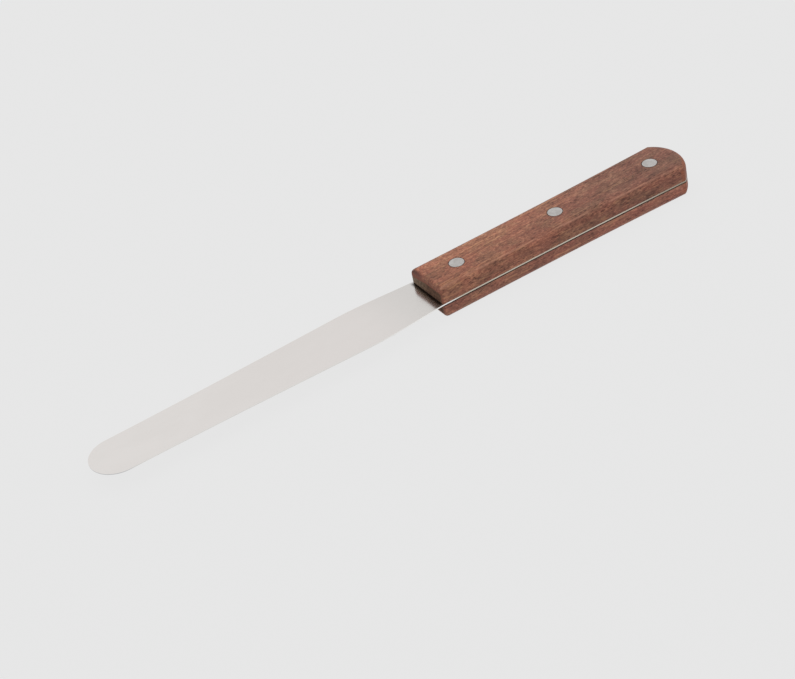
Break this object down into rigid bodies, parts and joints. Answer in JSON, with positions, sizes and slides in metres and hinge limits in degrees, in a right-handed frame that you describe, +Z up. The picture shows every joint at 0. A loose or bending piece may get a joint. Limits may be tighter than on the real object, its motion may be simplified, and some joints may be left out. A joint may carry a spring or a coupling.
{
  "type": "palette knife",
  "caption": "Palette knife with a thin flexible round-ended steel blade and a full-tang riveted hardwood handle.",
  "frame": {"origin": "middle of the whole knife's length and width, on the surface that the handle's flat underside rests on", "axes": "+X from the blade's tip towards the butt of the handle, +Z up out of the handle's upper face"},
  "size_m": [0.28, 0.027, 0.015],
  "materials": {
    "blade_steel": "bright satin spring steel, polished along its length",
    "handle_wood": "oiled reddish-brown hardwood, fine straight grain with short open pores",
    "rivet_metal": "satin, sanded flush with the wood"
  },
  "bodies": {
    "root": {"blade": "blade_steel", "scale_upper": "handle_wood", "scale_lower": "handle_wood", "rivet_socket_front": "rivet_metal", "rivet_socket_middle": "rivet_metal", "rivet_socket_rear": "rivet_metal", "rivet_pin_front": "rivet_metal", "rivet_pin_middle": "rivet_metal", "rivet_pin_rear": "rivet_metal"}
  },
  "joints": []
}
